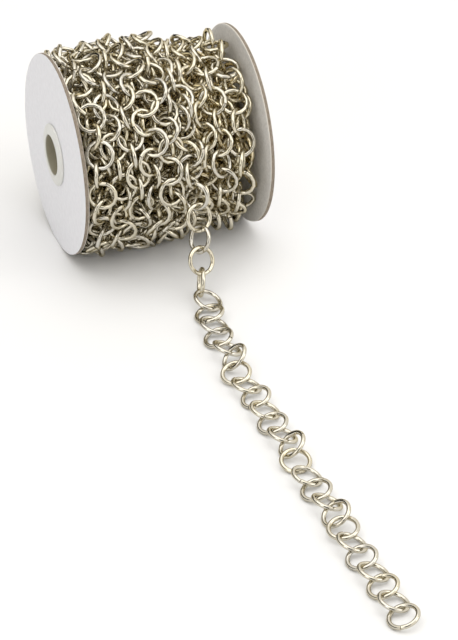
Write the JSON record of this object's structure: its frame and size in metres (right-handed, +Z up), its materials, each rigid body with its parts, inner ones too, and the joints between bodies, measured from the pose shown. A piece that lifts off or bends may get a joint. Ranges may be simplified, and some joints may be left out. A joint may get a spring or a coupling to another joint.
{
  "type": "reel of round-link steel chain",
  "caption": "Card reel wound full of round-link chain in bright nickel-plated steel, with its free end drawn out along the surface it stands on.",
  "frame": {"origin": "on the surface that the reel stands on, under the middle of the box around reel and tail", "axes": "+X along the reel's axis, +Z up, the free end of the chain runs towards -Y"},
  "size_m": [0.0752, 0.297, 0.0752],
  "materials": {
    "card": "white coated face, raw brown-grey cut edge",
    "bush_plastic": "satin, off-white",
    "board": "raw brown wound board",
    "chain_steel": "bright warm nickel plate"
  },
  "bodies": {
    "root": {"flange_left": "card", "flange_right": "card", "bush_left": "bush_plastic", "bush_right": "bush_plastic", "core_tube": "board", "inner_turns": "chain_steel", "wound_turn_1": "chain_steel", "wound_turn_2": "chain_steel", "wound_turn_3": "chain_steel", "wound_turn_4": "chain_steel", "wound_turn_5": "chain_steel", "wound_turn_6": "chain_steel", "wound_turn_7": "chain_steel", "wound_turn_8": "chain_steel", "tail_link_01": "chain_steel", "tail_link_02": "chain_steel", "tail_link_03": "chain_steel", "tail_link_04": "chain_steel", "tail_link_05": "chain_steel", "tail_link_06": "chain_steel", "tail_link_07": "chain_steel", "tail_link_08": "chain_steel", "tail_link_09": "chain_steel", "tail_link_10": "chain_steel", "tail_link_11": "chain_steel", "tail_link_12": "chain_steel", "tail_link_13": "chain_steel", "tail_link_14": "chain_steel", "tail_link_15": "chain_steel", "tail_link_16": "chain_steel", "tail_link_17": "chain_steel", "tail_link_18": "chain_steel", "tail_link_19": "chain_steel", "tail_link_20": "chain_steel", "tail_link_21": "chain_steel", "tail_link_22": "chain_steel", "tail_link_23": "chain_steel", "tail_link_24": "chain_steel", "tail_link_25": "chain_steel", "tail_link_26": "chain_steel", "tail_link_27": "chain_steel", "tail_link_28": "chain_steel", "tail_link_29": "chain_steel", "tail_link_30": "chain_steel", "tail_link_31": "chain_steel"}
  },
  "joints": []
}
